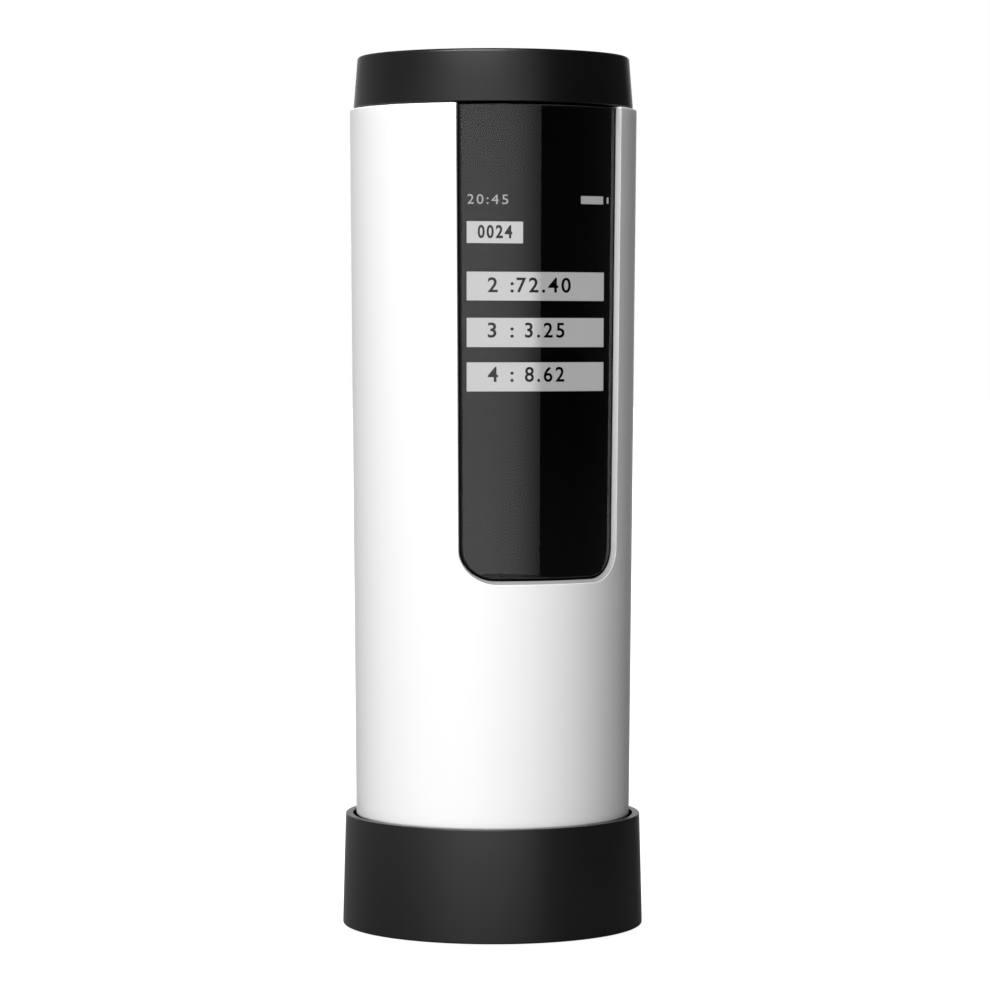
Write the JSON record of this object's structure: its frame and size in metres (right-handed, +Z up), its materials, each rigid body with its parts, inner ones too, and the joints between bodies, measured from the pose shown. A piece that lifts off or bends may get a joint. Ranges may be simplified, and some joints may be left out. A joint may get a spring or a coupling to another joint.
{
  "type": "portable colorimeter",
  "caption": "Tube-shaped handheld colorimeter with a window and readings on its front and a measuring button on top, standing in a black calibration cup.",
  "frame": {"origin": "centre of the underside, on the surface that the object stands on", "axes": "+Z up along the tube, the display faces -Y, +X is to the right of someone reading the display"},
  "size_m": [0.0364, 0.0364, 0.1046],
  "materials": {
    "shell_white": "satin white painted plastic",
    "satin_black": "fine-grained satin black plastic",
    "window_acrylic": "clear acrylic, painted black behind round the display",
    "display_glass": "dark display glass",
    "clear_glass": "clear polished glass",
    "white_ceramic": "glazed white ceramic",
    "white_diffuser": "dull white reflective plastic",
    "inner_black": "dull black moulded plastic",
    "rubber_black": "dull black rubber",
    "foam_grey": "closed-cell foam",
    "circuit_board": "green solder mask",
    "chip_black": "dull black moulding compound",
    "led_phosphor": "pale yellow phosphor",
    "cell_sleeve": "blue shrink sleeve",
    "ribbon_film": "amber polyimide film",
    "steel": "plain stainless steel",
    "nickel": "nickel plating"
  },
  "bodies": {
    "base": {"calibration_cup": "satin_black", "calibration_tile": "white_ceramic", "cup_magnet_1": "nickel", "cup_magnet_2": "nickel", "cup_magnet_3": "nickel", "foot_pad": "rubber_black", "retainer_screw_1": "steel", "retainer_screw_2": "steel", "retainer_screw_3": "steel", "tile_cushion": "foam_grey", "tile_retainer": "satin_black"},
    "instrument": {"aperture_glass": "clear_glass", "aperture_insert": "white_diffuser", "battery_cell": "cell_sleeve", "battery_contact_lower": "nickel", "battery_contact_upper": "nickel", "battery_plug": "inner_black", "board_screw_1": "steel", "board_screw_2": "steel", "charging_socket": "steel", "chassis": "inner_black", "colour_sensor": "chip_black", "display_bezel": "inner_black", "display_module": "display_glass", "display_ribbon": "ribbon_film", "display_window": "window_acrylic", "led_1": "led_phosphor", "led_2": "led_phosphor", "led_3": "led_phosphor", "led_4": "led_phosphor", "led_5": "led_phosphor", "led_6": "led_phosphor", "led_board": "circuit_board", "lens": "clear_glass", "lens_barrel": "inner_black", "main_board": "circuit_board", "measure_switch": "chip_black", "nose_magnet_1": "nickel", "nose_magnet_2": "nickel", "nose_magnet_3": "nickel", "nose_plate": "satin_black", "nose_screw_1": "steel", "nose_screw_2": "steel", "nose_screw_3": "steel", "optics_housing": "inner_black", "outer_shell": "shell_white", "processor": "chip_black", "radio_module": "steel", "sensor_board": "circuit_board", "sphere_lower": "white_diffuser", "sphere_upper": "white_diffuser", "top_board": "circuit_board", "top_board_screw_1": "steel", "top_board_screw_2": "steel", "top_cap": "satin_black"},
    "button": {"measure_button": "satin_black", "switch_plunger": "rubber_black", "button_spring": "steel"}
  },
  "joints": [
    {"name": "instrument_lift", "type": "slide", "parent": "base", "child": "instrument", "axis": [0, 0, 1], "range_m": [0, 0.03]},
    {"name": "button_press", "type": "slide", "parent": "instrument", "child": "button", "axis": [0, 0, -1], "range_m": [0, 0.0006], "stiffness_N_per_m": 900, "springref_m": -0.0015, "deforming": ["button_spring"]}
  ]
}
